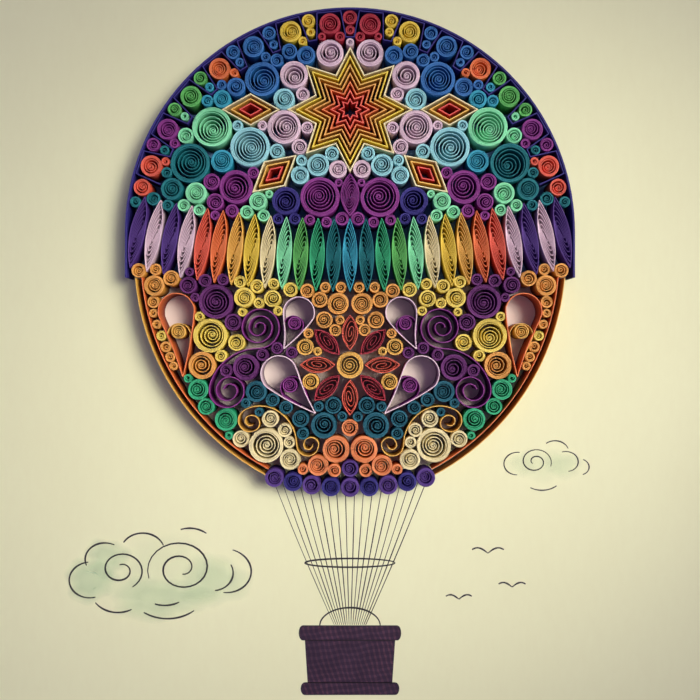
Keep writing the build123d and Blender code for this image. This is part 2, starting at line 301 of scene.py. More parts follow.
# %% [markdown]
# ## Coloured papers
# Quilling paper is dyed in the pulp. The flat face is a deep colour, and the cut edge on top is paler: partly
# the pale fibres of the paper, partly a painted highlight where light falls on the top. So the attribute
# `edge` is 1 there and the colour is lightened by it. Down between the turns the walls carry painted
# shade: their lower part is darker and stronger in colour, the dye multiplied by its own share of the
# brightest part, with a little cool blue added. `tone` changes the shade a little from one strip to the
# next, and a cloudy noise keeps a long strip from looking flat.

# %% Dyes by slot
DYES = {
    "cream": dye(244, 228, 178), "lemon": dye(242, 214, 84), "yellow": dye(240, 206, 44),
    "gold": dye(232, 176, 64), "amber": dye(222, 152, 50), "apricot": dye(236, 134, 66),
    "orange": dye(236, 112, 34), "coral": dye(232, 82, 52), "red": dye(204, 44, 30),
    "crimson": dye(158, 10, 44), "lilac": dye(214, 184, 202), "purple": dye(122, 38, 122),
    "plum": dye(92, 34, 98), "violet": dye(74, 42, 122), "indigo": dye(40, 32, 112),
    "blue": dye(14, 92, 158), "turquoise": dye(0, 136, 164), "aqua": dye(132, 190, 200),
    "teal": dye(0, 104, 114), "petrol": dye(16, 84, 104), "sea_green": dye(20, 150, 104),
    "green": dye(76, 160, 76), "mint": dye(130, 222, 172),
}
print("dyes:", ", ".join(DYES))

# %% [markdown]
# The numbers below set how deep each part of a paper is. The wells, with their painted shade, are the
# darkest, and the cut edge, with its pale fibres and painted highlight, the palest. `edge` is cubed there,
# so that only the very top of a strip turns pale.

# %% Finish of one paper
DEEP = 0.66
WELL_SHADE = 0.6
WELL_SHADE_FADE, WELL_SHADE_LEAST = 1.2, 0.2
SHADE_SATURATION = 0.65
COOL_SHADE = np.array([0.003, 0.006, 0.022])
PALE, PALE_LIFT, PALE_LIMIT = 1.55, 0.2, 0.92
FIBRE_SCALE, CLOUD_SCALE = 2600, 90
EDGE_SPREAD = 1.7


def paper(slot):
    """Painted shade in the wells, darker and stronger in colour, the dye on the face, and paler on the cut
    edge (edge cubed), partly pale fibres and partly a painted highlight.
    Well shade: the dye times a mean of 1 and its share of its brightest part, weaker for bright dyes, plus
    COOL_SHADE."""
    recipe = Recipe("paper_" + slot)
    colour = np.array(DYES[slot][:3])
    bright = colour.max()
    # Painted shade for the wells: darker, stronger in colour, with a little cool blue.
    well_shade = colour * (1 - SHADE_SATURATION + SHADE_SATURATION * colour / bright)
    well_shade = WELL_SHADE * max(1 - WELL_SHADE_FADE * bright, WELL_SHADE_LEAST) * well_shade + COOL_SHADE
    # Pale cut edge: partly the pale fibres of the paper, partly a painted highlight on the top.
    pale = PALE * colour + PALE_LIFT * bright
    pale = pale * min(1, PALE_LIMIT / pale.max())
    well_shade, deep, pale = ((*shade.tolist(), 1.0) for shade in (well_shade, DEEP * colour, pale))
    fibre = recipe.noise(FIBRE_SCALE, 3.0)
    edge = recipe.attribute("edge")
    shade = recipe.noise(CLOUD_SCALE) * 0.5 + recipe.attribute("tone") * 0.5
    face = recipe.blend(shade, deep, DYES[slot])
    # The lower part of each wall takes the painted well shade, and the very top the pale edge.
    face = recipe.blend(edge * EDGE_SPREAD, well_shade, face)
    face = recipe.blend(edge * edge * edge * (fibre * 0.4 + 0.75), face, pale)
    return recipe.matt(face, 0.68, fibre, 0.25)


papers = {slot: paper(slot) for slot in DYES}
print("papers:", len(papers))

# %% [markdown]
# ## A strip on edge
# The cross-section goes up one face, over a softly rounded cut edge and down the other face. Carried
# along a path, it makes a wall of paper. At a fold the section is widened by the mitre, so that the
# strip keeps its thickness round a sharp corner. All strips of one colour gather in one mesh.

# %% Cross-section of a strip
THIN = 0.27
FOOT = 1.0
SHOULDER = 0.1
# Each row: share of half the thickness, depth below the top in mm or FOOT for the card, and value of edge.
SECTION = np.array([(1, FOOT, 0), (1, SHOULDER, 0.6), (0.5, 0, 1),
                    (-0.5, 0, 1), (-1, SHOULDER, 0.6), (-1, FOOT, 0)])
SIDES = len(SECTION)
CHART_SIZE = 10
SHARP = math.radians(38)
TINY = 1e-6
print("section:", SIDES, "places,", THIN, "mm across")

# %% Gathering strips


class Strips:
    """Strips of one colour, gathered into one mesh."""

    def __init__(self):
        self.places = []
        self.faces = []
        self.chart = []
        self.edge = []
        self.tone = []
        self.lengths = []
        self.count = 0

    def add(self, path, thickness=THIN, closed=False, mitre=1.6, drop=0.0, open_below=0.0):
        """Places are path + offset across it, at the top less drop less depth; quads join their columns.
        With open_below above 0 the foot of the strip gets less of the painted well shade, as nothing stands
        close to it."""
        path = np.asarray(path, float)
        rows = len(path)
        ahead = np.roll(path, -1, 0) - path
        behind = path - np.roll(path, 1, 0)
        if not closed:
            ahead[-1] = behind[-1]
            behind[0] = ahead[0]
        length = np.linalg.norm(ahead, axis=1)
        along = ahead / length[:, None] + behind / np.linalg.norm(behind, axis=1, keepdims=True)
        size = np.maximum(np.linalg.norm(along, axis=1, keepdims=True), TINY)
        across = np.column_stack([-along[:, 1], along[:, 0]]) / size * np.minimum(2 / size, mitre)
        top = STRIP_TOP - np.broadcast_to(drop, rows)
        offset, depth, edge = SECTION.T[:, :, None]
        flat = path[None] + across[None] * (offset * thickness / 2)[:, :, None]
        height = np.where(depth == FOOT, CARD_TOP, top - depth)[:, :, None]
        run = np.concatenate([[0], np.cumsum(length)[:-1]])
        self.lengths.append(length.sum() if closed else run[-1])
        self.places.append(np.concatenate([flat, height], axis=2).reshape(-1, 3))
        self.chart.append(np.column_stack([np.tile(run, SIDES), height.ravel()]) / CHART_SIZE)
        self.edge.append(np.repeat(np.maximum(edge, open_below), rows))
        self.tone.append(np.full(SIDES * rows, chance.uniform(0, 1)))
        step = np.arange(rows if closed else rows - 1)
        column = self.count + np.arange(SIDES - 1)[:, None] * rows
        here, after = column + step, column + (step + 1) % rows
        self.faces.append(np.stack([here, after, after + rows, here + rows], axis=2).reshape(-1, 4))
        if not closed:
            start, end = (self.count + np.arange(SIDES) * rows + row for row in (0, rows - 1))
            self.faces.append(np.array([start[[0, 1, 4, 5]], start[[1, 2, 3, 4]],
                                        end[[5, 4, 1, 0]], end[[4, 3, 2, 1]]]))
        self.count += SIDES * rows

    def build(self, name, slot, *nodes):
        """Makes the piece, which stands for the CAD nodes named."""
        mesh = bpy.data.meshes.new(name)
        faces = np.vstack(self.faces)
        mesh.from_pydata(np.vstack(self.places) * MM, [], faces)
        for label, values in (("edge", self.edge), ("tone", self.tone)):
            layer = mesh.attributes.new(label, "FLOAT", "POINT")
            layer.data.foreach_set("value", np.concatenate(values))
        chart = np.vstack(self.chart)[faces.ravel()]
        mesh.uv_layers.new(name="strip").data.foreach_set("uv", chart.ravel())
        mesh.shade_smooth()
        mesh.set_sharp_from_angle(angle=SHARP)
        mesh.materials.append(papers[slot])
        place_piece(name, mesh, slot, *nodes)
        print("    strips:", len(self.lengths), "of", round(min(self.lengths)), "to",
              round(max(self.lengths)), "mm")


def place_piece(name, mesh, slot, *nodes):
    """Puts a finished mesh in the scene, on the one body of the picture."""
    piece = bpy.data.objects.new(name, mesh)
    bpy.context.scene.collection.objects.link(piece)
    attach(piece, "root")
    if nodes:
        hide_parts(*nodes)
    print(name + ":", len(mesh.polygons), "faces")


# %% [markdown]
# ## Rolled coils
# A coil is rolled tight, let go, and glued when it has opened to its size. Its heart stays tight, the
# turns between stand apart, and the last few turns lie on each other as a firm band. So the space from
# one turn to the next is a function of the radius. The angle at each radius is the sum of 2 pi over that
# space, and reading this sum backwards gives the radius at even steps of the angle. The heart never
# stays quite in the middle, so inner turns move a little to one side, and it sinks a little.

# %% Path of a coil
FULL_TURN = 2 * math.pi
DISH = 1.2
UNEVEN = 0.3
EYE, EYE_SHARE = 0.32, 0.3
HEART, HEART_SHARE, HEART_SPACE = 0.9, 0.22, 0.4
BAND_SPACE = 0.31
ASIDE_SHARES = (0.05, 0.22)
GLUE = 0.02
SUM_STEPS = 400


def coil_path(centre, radius, space, band=3, facets=26):
    """radius(angle) by inverting angle(radius) = sum of 2 pi / space, then one closed turn, on a centre
    that moves aside inwards. The second result is how far each place sinks below the top."""
    outer = radius - THIN / 2 - GLUE
    reach = np.linspace(min(EYE, radius * EYE_SHARE), outer, SUM_STEPS)
    heart = min(HEART, radius * HEART_SHARE)
    band_start = outer - band * BAND_SPACE
    between = np.clip((reach - heart) / max(band_start - heart, 0.1), 0, 1)
    gap = np.where(reach < heart, HEART_SPACE, space * (0.8 + 0.35 * between))
    gap = np.where(reach > band_start, BAND_SPACE, gap)
    angle = np.concatenate([[0], np.cumsum(FULL_TURN / gap[:-1] * np.diff(reach))])
    steps = np.arange(0, angle[-1], FULL_TURN / facets)
    turn = np.concatenate([steps, steps[-1] + np.arange(1, facets + 2) * FULL_TURN / facets])
    reach = np.concatenate([np.interp(steps, angle, reach), np.full(facets + 1, outer)])
    turn = turn + chance.uniform(0, FULL_TURN)
    hand = chance.choice([-1, 1])
    lean = chance.uniform(0, FULL_TURN)
    aside = radius * chance.uniform(*ASIDE_SHARES) * np.clip(1 - reach / outer, 0, 1)
    heart_place = centre + aside[:, None] * np.array([math.cos(lean), math.sin(lean)])
    path = heart_place + np.column_stack([np.cos(turn), hand * np.sin(turn)]) * reach[:, None]
    return path, chance.uniform(0, UNEVEN) + DISH * np.clip((band_start - reach) / radius, 0, 1)


print("a coil sinks by less than", DISH + UNEVEN, "mm in its middle")

# %% [markdown]
# A large coil has been let go further than a small one, so its turns stand farther apart, and a firmer
# band of turns holds it.

# %% All coils that the model holds
LARGE_COIL = 4.6
LARGE_SPACES, LARGE_BAND = (1.1, 1.42), 4
SMALL_SPACES, SMALL_BAND = (0.84, 1.04), 3
coils = []
for node, solids in outlines.items():
    if not node.endswith(("_coils", "_beads", "_coil")):
        continue
    strips = Strips()
    for loops in solids:
        centre, radius = circle_of(loops[0])
        coils.append((centre, radius, slot_of[node]))
        large = radius > LARGE_COIL
        spaces, band = (LARGE_SPACES, LARGE_BAND) if large else (SMALL_SPACES, SMALL_BAND)
        path, drop = coil_path(centre, radius, chance.uniform(*spaces), band)
        strips.add(path, drop=drop)
    strips.build(node + "_turns", slot_of[node], node)
print("coils:", len(coils))

# %% [markdown]
# ## Pinched leaves
# A leaf is a coil pinched at both ends. Each turn is a lens with a share of the full length and width, so
# the turns lie close at the sides. Only the outer ones reach the pinch as a point. The inner ones end
# blunt and a little askew, and leave a row of dark slots towards each tip, as in a real leaf. A petal is
# shorter, so it has fewer turns of a thinner paper.

# %% Path of a leaf
ASIDE = 0.1
ASKEW = 0.3
LEAF_FACETS = 30
LEAF_EYE = 0.06
LEAF_DISH = 0.9
POINT_START, POINT_SPAN = 0.7, 0.2
BLUNT = 0.03


def leaf_path(middle, along, length, width, turns, hand):
    """Along: cos(turn) scaled by the share. Across: sin(turn) |sin(turn)|^point, scaled. Each turn is then
    set aside and turned askew. The second result is how far each place sinks below the top."""
    across = np.array([-along[1], along[0]])
    wound = np.linspace(0, turns, turns * LEAF_FACETS + 1)
    band = 2 * THIN / width
    inner = LEAF_EYE + (1 - band - LEAF_EYE) * wound / (turns - 2)
    share = np.where(wound < turns - 2, inner, np.minimum(1, 1 - band * (turns - 1 - wound)))
    turn = FULL_TURN * wound
    half_length = (length / 2 - 2 * THIN) * (BLUNT + (1 - BLUNT) * share)
    half_width = (width / 2 - THIN / 2) * share
    reach = half_length * np.cos(turn)
    point = np.clip((share - POINT_START) / POINT_SPAN, 0, 1)
    side = half_width * np.sin(turn) * np.abs(np.sin(turn)) ** point * hand
    side = side + hand * ASIDE * width / 2 * (1 - share)
    twist = hand * ASKEW * (1 - share)
    ahead = reach * np.cos(twist) - side * np.sin(twist)
    aside = reach * np.sin(twist) + side * np.cos(twist)
    return middle + ahead[:, None] * along + aside[:, None] * across, LEAF_DISH * (1 - share)


print("places on a turn:", LEAF_FACETS, "- a leaf sinks by at most", LEAF_DISH, "mm")

# %% All leaves and petals
LONG_LEAF = 16.0
LEAF_TURNS, LEAF_THICKNESS = 8, 0.23
PETAL_TURNS, PETAL_THICKNESS = 5, 0.2
for node, solids in outlines.items():
    if not node.endswith(("_leaves", "_petals", "_leaf")):
        continue
    strips = Strips()
    for loops in solids:
        middle, along, length, width = lens_of(loops[0])
        along = along * (1 if along[1] > 0 else -1)
        long = length > LONG_LEAF
        turns, thickness = (LEAF_TURNS, LEAF_THICKNESS) if long else (PETAL_TURNS, PETAL_THICKNESS)
        path, drop = leaf_path(middle, along, length, width, turns, 1 if middle[0] > 0 else -1)
        strips.add(path, thickness, drop=drop + chance.uniform(0, UNEVEN))
    strips.build(node + "_turns", slot_of[node], node)

# %% [markdown]
# ## Folded and curled strips
# Folded strips are closed rings with sharp corners, so they keep the corners of the model. Curled ones
# are smoothed. The rim of the dome is three strips glued face to face, as one strip alone would bend.

# %% Rings, curls and the rim
FOLDED = 0.4
FOLD_MITRE = 4.0
RING = 0.5
# Share of edge at the foot of a ring, which keeps the painted well shade off it.
RING_FOOT_LESS_SHADE = 0.45
CURLED_STRIP = 0.36
RIM_SHEET = 0.25
RIM_OFFSETS = (-0.26, 0.0, 0.26)
for node, solids in outlines.items():
    if not node.endswith(("_strip", "_strips", "_scrolls")):
        continue
    strips = Strips()
    for loops in solids:
        if len(loops) == 2:
            strips.add(ring_line(loops), RING, closed=True, mitre=FOLD_MITRE, open_below=RING_FOOT_LESS_SHADE)
        elif node == "folded_border_strip":
            strips.add(middle_line(loops[0]), FOLDED, mitre=FOLD_MITRE)
        elif node == "dome_rim_strip":
            path = middle_line(loops[0])
            run = np.gradient(path, axis=0)
            across = np.column_stack([-run[:, 1], run[:, 0]]) / np.linalg.norm(run, axis=1, keepdims=True)
            for offset in RIM_OFFSETS:
                strips.add(path + across * offset, RIM_SHEET, drop=0.1 - abs(offset) * 0.3)
        else:
            strips.add(curl(middle_line(loops[0])), CURLED_STRIP)
    strips.build(node + "_paper", slot_of[node], node)

# %% [markdown]
# An open loop is one strip bent round until its ends meet in a tail, so it has a single sharp corner. The
# path starts there and is smoothed. A smaller loop in another colour shares the tail, and a small coil is
# glued in its head.

# %% Open loops
LOOP_SHARE = 0.64
LOOP_COIL_SHARE = 0.3
LOOP_COIL_SPACE = 0.85
INNER_DROP = 0.4
INNER_SLOT = {"lilac": "purple", "orange": "gold"}
for node, solids in outlines.items():
    if not node.endswith("_open_loops"):
        continue
    outer_strips, inner_strips = Strips(), Strips()
    for loops in solids:
        ring = ring_line(loops)
        ahead = np.roll(ring, -1, 0) - ring
        behind = ring - np.roll(ring, 1, 0)
        straight = (ahead * behind).sum(axis=1)
        straight = straight / np.linalg.norm(ahead, axis=1) / np.linalg.norm(behind, axis=1)
        ring = np.roll(ring, -int(straight.argmin()), 0)
        path = curl(np.vstack([ring, ring[:1]]))
        tail = path[0]
        outer_strips.add(path, FOLDED)
        inner_path = tail + (path - tail) * LOOP_SHARE
        inner_strips.add(inner_path, THIN, drop=INNER_DROP)
        _, _, _, width = lens_of(ring)
        back = inner_path[np.linalg.norm(inner_path - tail, axis=1).argmax()]
        reach = width * LOOP_SHARE * LOOP_COIL_SHARE
        centre = back + (tail - back) / np.linalg.norm(tail - back) * (reach + THIN)
        path, drop = coil_path(centre, reach, LOOP_COIL_SPACE, band=1, facets=20)
        inner_strips.add(path, drop=drop + INNER_DROP)
    inner_slot = INNER_SLOT[slot_of[node]]
    outer_strips.build(node + "_paper", slot_of[node], node)
    inner_strips.build("inner_" + inner_slot + "_loops", inner_slot)

# %% [markdown]
# ## Small coils in the gaps
# A maker closes the widest gaps with little coils. Every free place inside the balloon is given its
# distance to the nearest paper, from a tree of places along all outlines. The widest gap takes the next
# coil, in the colour of its nearest neighbour. Only the right half is worked out, and it is mirrored.

# %% Outline of the balloon


def inside(places, loop):
    """True where a ray to the right crosses the closed outline an odd number of times."""
    (from_x, from_y), (to_x, to_y) = loop.T, np.roll(loop, -1, 0).T
    x, y = places[:, :1], places[:, 1:]
    crosses = (from_y > y) != (to_y > y)
    rise = np.where(to_y == from_y, 1, to_y - from_y)
    meets_at = from_x + (y - from_y) * (to_x - from_x) / rise
    return (crosses & (x < meets_at)).sum(axis=1) % 2 == 1


def right_line(node):
    """Middle line of the right-hand strip of a pair, from top to bottom."""
    paths = [middle_line(loops[0]) for loops in outlines[node]]
    path = max(paths, key=lambda one: one[:, 0].mean())
    return path if path[0, 1] > path[-1, 1] else path[::-1]


rim_line = middle_line(outlines["dome_rim_strip"][0][0])
rim_line = rim_line if rim_line[0, 0] < 0 else rim_line[::-1]
side_line = right_line("orange_bowl_strips")
mouth_nodes = [node for node in outlines if node.endswith("_mouth_coils")]
mouth = [circle_of(loops[0])[0] for node in mouth_nodes for loops in outlines[node]]
mouth = np.array(sorted(mouth, key=lambda place: -place[0]))
balloon = np.vstack([rim_line, side_line, mouth, side_line[::-1] * (-1, 1)])
print("balloon:", np.ptp(balloon, axis=0).round(1), "mm wide and high")

# %% A tree of places along all outlines
EDGE_STEP = 0.3
edges = []
for loop in (loops[0] for solids in outlines.values() for loops in solids):
    lengths = np.linalg.norm(np.roll(loop, -1, 0) - loop, axis=1)
    closed_loop = np.vstack([loop, loop[:1]])
    edges.append(evenly(closed_loop, int(lengths.sum() / EDGE_STEP) + 2))
edges = np.vstack(edges)
tree = kdtree.KDTree(len(edges))
for index, (x, y) in enumerate(edges):
    tree.insert((x, y, 0), index)
tree.balance()
print("places on outlines:", len(edges))

# %% [markdown]
# Closed pieces and loops are left out, and so are the open curls of the scrolls. A place is in a curl if
# the strip, seen from there, turns through most of a circle or more.

# %% Room at every free place
STEP = 0.45
GLUE_ROOM = 0.12
AXIS_ROOM = 0.05
CURLED = math.radians(300)
PACKED = ("_coils", "_coil", "_beads", "_leaves", "_leaf", "_petals")
columns = np.arange(0, balloon[:, 0].max(), STEP)
rows = np.arange(balloon[:, 1].min(), balloon[:, 1].max(), STEP)
places = np.array(np.meshgrid(columns, rows)).reshape(2, -1).T
places = places[inside(places, balloon)]
for node, solids in outlines.items():
    for loops in solids:
        if len(loops) == 2 or node.endswith(PACKED):
            places = places[~inside(places, loops[0])]
for loops in outlines["purple_scrolls"] + outlines["gold_scrolls"]:
    seen = middle_line(loops[0])[None] - places[:, None]
    bearing = np.unwrap(np.arctan2(seen[..., 1], seen[..., 0]), axis=1)
    places = places[np.abs(bearing[:, -1] - bearing[:, 0]) < CURLED]
room = np.array([tree.find((x, y, 0))[2] for x, y in places]) - GLUE_ROOM
on_axis = places[:, 0] < STEP / 2
room = np.where(on_axis, room, np.minimum(room, places[:, 0] - AXIS_ROOM))
print("free places:", len(places), "widest gap:", round(room.max(), 2), "mm from its middle to paper")

# %% Little coils, widest gap first
SMALLEST = 1.6
LARGEST = 3.4
SMALL_COIL_SPACE = 1.0
BETWEEN_COILS = 0.08
SMALL_DROP = 0.2
coil_centres = np.array([centre for centre, _, _ in coils])
coil_rims = np.array([radius for _, radius, _ in coils])
small = {}
small_count = 0
while room.max() > SMALLEST:
    widest = int(room.argmax())
    spot = places[widest]
    radius = min(room[widest], LARGEST)
    nearest = int((np.linalg.norm(coil_centres - spot, axis=1) - coil_rims).argmin())
    strips = small.setdefault(coils[nearest][2], Strips())
    for side in ((1,) if on_axis[widest] else (1, -1)):
        path, drop = coil_path(spot * (side, 1), radius, SMALL_COIL_SPACE, band=2, facets=18)
        strips.add(path, drop=drop + SMALL_DROP)
        small_count += 1
    room = np.minimum(room, np.linalg.norm(places - spot, axis=1) - radius - BETWEEN_COILS)
for slot, strips in sorted(small.items()):
    strips.build("small_" + slot + "_coils", slot)
print("small coils:", small_count)

# %% [markdown]
# ## The card
# The picture stands on thick cream drawing card. Its edge is softened a little, its face has a fine
# tooth, and faint fibres and clouds in the colour keep it from looking like plastic. The mesh is made
# once its finish is known, two cells below.

# %% Card
card_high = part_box("backing_card")[1]
SOFT = 0.25


def card_mesh():
    """Four squares stacked upwards, the lowest and highest drawn in, quads between them, and two faces."""
    half = card_high.x / MM
    corners = np.array([(-1, -1), (1, -1), (1, 1), (-1, 1)])
    levels = ((half - SOFT, 0.0), (half, SOFT), (half, CARD_TOP - SOFT), (half - SOFT, CARD_TOP))
    points = np.vstack([np.column_stack([corners * reach, np.full(4, height)]) for reach, height in levels])
    corner = np.arange(4)
    after = (corner + 1) % 4
    sides = [np.column_stack([corner, after, after + 4, corner + 4]) + 4 * level for level in range(3)]
    mesh = bpy.data.meshes.new("card_sheet")
    mesh.from_pydata(points * MM, [], np.vstack(sides + [[(3, 2, 1, 0), (12, 13, 14, 15)]]))
    return mesh


print("card:", round(2 * card_high.x / MM, 1), "mm square,", round(CARD_TOP, 2), "mm thick")

# %% [markdown]
# The card inside the balloon is seen only down between strips, where it lies in shade. So painted shade is
# laid on the card there, a dark blue under the dome and a lilac grey under the bowl, up to a millimetre from
# the strips of the outline. The dome's strip lies on one circle, and each side of the bowl on another, found
# from three places of its middle line.

# %% Painted shade inside the balloon
TINT_SPACE = 1.0
recipe = Recipe("drawing_card")
place = recipe.node("ShaderNodeTexCoord", output="Object")
aside, height = (recipe.node("ShaderNodeSeparateXYZ", None, {"Vector": place}, axis) for axis in "XY")
mirrored = aside.math("ABSOLUTE", aside, 0.0)
right_place = recipe.node("ShaderNodeCombineXYZ", None, {"X": mirrored, "Y": height})


def within(path):
    """1 where the place, mirrored to the right, is nearer the centre of the path's circle than its rim.
    The centre is equally far from three places, which gives two straight equations."""
    one, two, three = path[0], path[len(path) // 2], path[-1]
    chords = np.array([two - one, three - two])
    centre = np.linalg.solve(chords, (chords * np.array([one + two, two + three]) / 2).sum(axis=1))
    reach = np.linalg.norm(one - centre) - TINT_SPACE
    away = recipe.node("ShaderNodeVectorMath", {"operation": "DISTANCE"},
                       {0: right_place, 1: (*(centre * MM), 0.0)}, "Value")
    print("circle:", centre.round(1), "reach", round(reach, 1))
    return 1 - (away > reach * MM)


# Masks for the painted shade on the card: under the dome and under the bowl.
dome_arc = rim_line[rim_line[:, 1] > np.median(rim_line[:, 1])]
dome_painted_shade = within(dome_arc) * (height > side_line[0, 1] * MM)
bowl_painted_shade = within(side_line) * (height > side_line[-1, 1] * MM)

# %% Finish of the card
flecks = recipe.noise(420, 3.0, (1.0, 0.35, 1.0))
colour = recipe.blend(recipe.noise(11), dye(232, 230, 194), dye(240, 239, 204))
colour = recipe.blend(flecks * 0.22, colour, dye(222, 214, 178))
# Painted shade on the card down between the strips: lilac grey under the bowl, dark blue under the dome.
colour = recipe.blend(bowl_painted_shade, colour, dye(238, 219, 214))
colour = recipe.blend(dome_painted_shade, colour, dye(112, 152, 203))
card = card_mesh()
card.materials.append(recipe.matt(colour, 0.85, recipe.noise(1800, 4.0) * 0.7 + flecks * 0.6, 0.18))
place_piece("card_sheet", card, "cream_card", "backing_card")

# %% [markdown]
# ## Ink on the card
# The maker drew ropes, a basket, clouds and birds straight on the card. A pen line is a flat ribbon a
# hair above the card, which swells and thins a little and tapers at its ends. A wash is a flat shape, full
# in its middle and fading to nothing at its outline. Each patch of it lies one coat higher than the patch
# before, as two faces in one plane would flicker.

# %% Pen and wash
HALF_TURN = math.pi
WASH_LIFT = CARD_TOP + 0.01
INK_LIFT = CARD_TOP + 0.03
COAT = 0.0015
RING_SHARES = np.array([1.0, 0.72, 0.4, 0.001])
RING_COVERS = np.array([0.0, 0.5, 0.85, 0.8])


class Drawing:
    """Flat shapes of one ink, gathered into one mesh."""

    def __init__(self, height):
        self.places = []
        self.faces = []
        self.cover = []
        self.count = 0
        self.height = height

    def keep(self, flat, faces, cover):
        """Adds places at the present height, and faces that count from the first of them."""
        self.places.append(np.column_stack([flat, np.full(len(flat), self.height)]))
        self.faces += (np.asarray(faces) + self.count).tolist()
        self.cover.append(np.broadcast_to(cover, len(flat)))
        self.count += len(flat)

    def line(self, path, width=0.5):
        """Two sides of the path, offset by half a width that swells as the root of a sine, and wavers."""
        path = np.asarray(path, float)
        run = np.gradient(path, axis=0)
        across = np.column_stack([-run[:, 1], run[:, 0]]) / np.linalg.norm(run, axis=1, keepdims=True)
        share = np.linspace(0, 1, len(path))
        waver = 0.1 * np.sin(share * chance.uniform(9, 16) + chance.uniform(0, 6))
        swell = 0.6 + 0.4 * np.sqrt(np.sin(HALF_TURN * share))
        half = across * (width / 2 * (swell + waver))[:, None]
        step = np.arange(len(path) - 1)
        quads = np.column_stack([step, step + len(path), step + len(path) + 1, step + 1])
        self.keep(np.vstack([path + half, path - half]), quads, 1.0)

    def fill(self, loop):
        """One flat face."""
        self.keep(np.asarray(loop, float), [list(range(len(loop)))], 1.0)

    def fade(self, loop, centre, strength):
        """Rings from the outline to the centre, with more cover inwards; each patch lies a coat higher."""
        around = len(loop)
        flat = np.vstack([centre + (loop - centre) * share for share in RING_SHARES])
        corner = np.arange(around)
        after = (corner + 1) % around
        ring = np.column_stack([corner, after, after + around, corner + around])
        rings = np.vstack([ring + level * around for level in range(len(RING_SHARES) - 1)])
        self.keep(flat, rings, strength * np.repeat(RING_COVERS, around))
        self.height += COAT

    def build(self, name, material):
        """Makes the piece, which stands for no CAD node."""
        mesh = bpy.data.meshes.new(name)
        mesh.from_pydata(np.vstack(self.places) * MM, [], self.faces)
        layer = mesh.attributes.new("cover", "FLOAT", "POINT")
        layer.data.foreach_set("value", np.concatenate(self.cover))
        mesh.materials.append(material)
        place_piece(name, mesh, "cream_card")


# %% Inks
recipe = Recipe("pen_ink")
pen_ink = recipe.matt(recipe.blend(recipe.noise(900), dye(38, 36, 44), dye(66, 62, 66)), 0.6)
recipe = Recipe("cloud_wash")
blot = recipe.noise(60, 2.0)
cloud_wash = recipe.matt(recipe.blend(blot, dye(182, 216, 186), dye(206, 230, 200)), 0.85,
                         alpha=recipe.attribute("cover") * (blot * 0.4 + 0.26))
print("inks:", pen_ink.name, cloud_wash.name)

# %% [markdown]
# The basket is washed dark and hatched across both ways with a broad pen. Two sets of slanted stripes do
# that: the fraction of a sloping coordinate is compared with a limit, and a noise makes the strokes waver.

# %% Basket ink
recipe = Recipe("basket_ink")
place = recipe.node("ShaderNodeTexCoord", output="Object")
x = recipe.node("ShaderNodeSeparateXYZ", None, {0: place}, "X")
y = recipe.node("ShaderNodeSeparateXYZ", None, {0: place}, "Y")
waver = recipe.noise(160) * 0.0024
wash_colour = recipe.blend(recipe.noise(120), dye(44, 30, 50), dye(70, 50, 74))
strokes = ((x + y * 0.3 + waver) * 460).fraction() > 0.6
crossing = ((y - x * 0.1 + waver) * 400).fraction() > 0.45
colour = recipe.blend(strokes * 0.4 * recipe.noise(60), wash_colour, dye(128, 78, 92))
basket_ink = recipe.matt(recipe.blend(crossing * 0.4, colour, dye(34, 24, 44)), 0.7)
print("basket ink:", len(recipe.tree.nodes), "shader nodes")

# %% Basket
BASKET_TOP, BASKET_FOOT, BASKET_HALF = -114.0, -142.5, 18.6
TAPER = 1.2
TOP_BAR, TOP_OVERHANG = 6.0, 2.4
FOOT_BAR, FOOT_OVERHANG = 5.0, 1.6
SEAM = 0.05
OUTLINE_WIDTH = 0.4


def bar(left, right, bottom, top, reach=1.5):
    """A bar whose ends are half ellipses."""
    turn = np.linspace(-HALF_TURN / 2, HALF_TURN / 2, 9)
    end = np.column_stack([np.cos(turn) * reach, np.sin(turn) * (top - bottom) / 2])
    middle = (bottom + top) / 2
    return np.vstack([end + (right - reach, middle), end[::-1] * (-1, 1) + (left + reach, middle)])


basket = Drawing(WASH_LIFT)
body_foot, body_top = BASKET_FOOT + FOOT_BAR, BASKET_TOP - TOP_BAR
body = np.array([(-BASKET_HALF + TAPER, body_foot), (BASKET_HALF - TAPER, body_foot),
                 (BASKET_HALF, body_top), (-BASKET_HALF, body_top)])
top_half, foot_half = BASKET_HALF + TOP_OVERHANG, BASKET_HALF + FOOT_OVERHANG
basket_shapes = [body, bar(-top_half, top_half, body_top + SEAM, BASKET_TOP),
                 bar(-foot_half, foot_half, BASKET_FOOT, body_foot - SEAM)]
for shape in basket_shapes:
    basket.fill(shape)
basket.build("drawn_basket", basket_ink)
print("basket:", len(basket_shapes), "washed shapes")

# %% [markdown]
# The ropes fan out from the basket to the mouth and sag sideways by half a millimetre. Their upper ends
# follow the row of coils, and an ellipse stands for the load ring that they run through.

# %% Ropes, load ring and handle
ROPES = 18
ROPE_WIDTHS = (0.32, 0.46)
MOUTH_HALF, MOUTH_RISE, MOUTH_GAP = 32.0, 4.5, 2.6
ROPE_FOOT_HALF = 6.5
ROPE_SAG = 0.5
RING_HEIGHT, RING_HALF, RING_DEEP = -88.0, 18.6, 1.8
HANDLE_HALF, HANDLE_RISE = 12.5, 7.5
BOLD = 0.7


def oval(height, half, rise, last, count):
    """Places at (half cos, height + rise sin) of an angle that runs from 0 to the last."""
    turn = np.linspace(0, last, count)
    return np.column_stack([half * np.cos(turn), height + rise * np.sin(turn)])


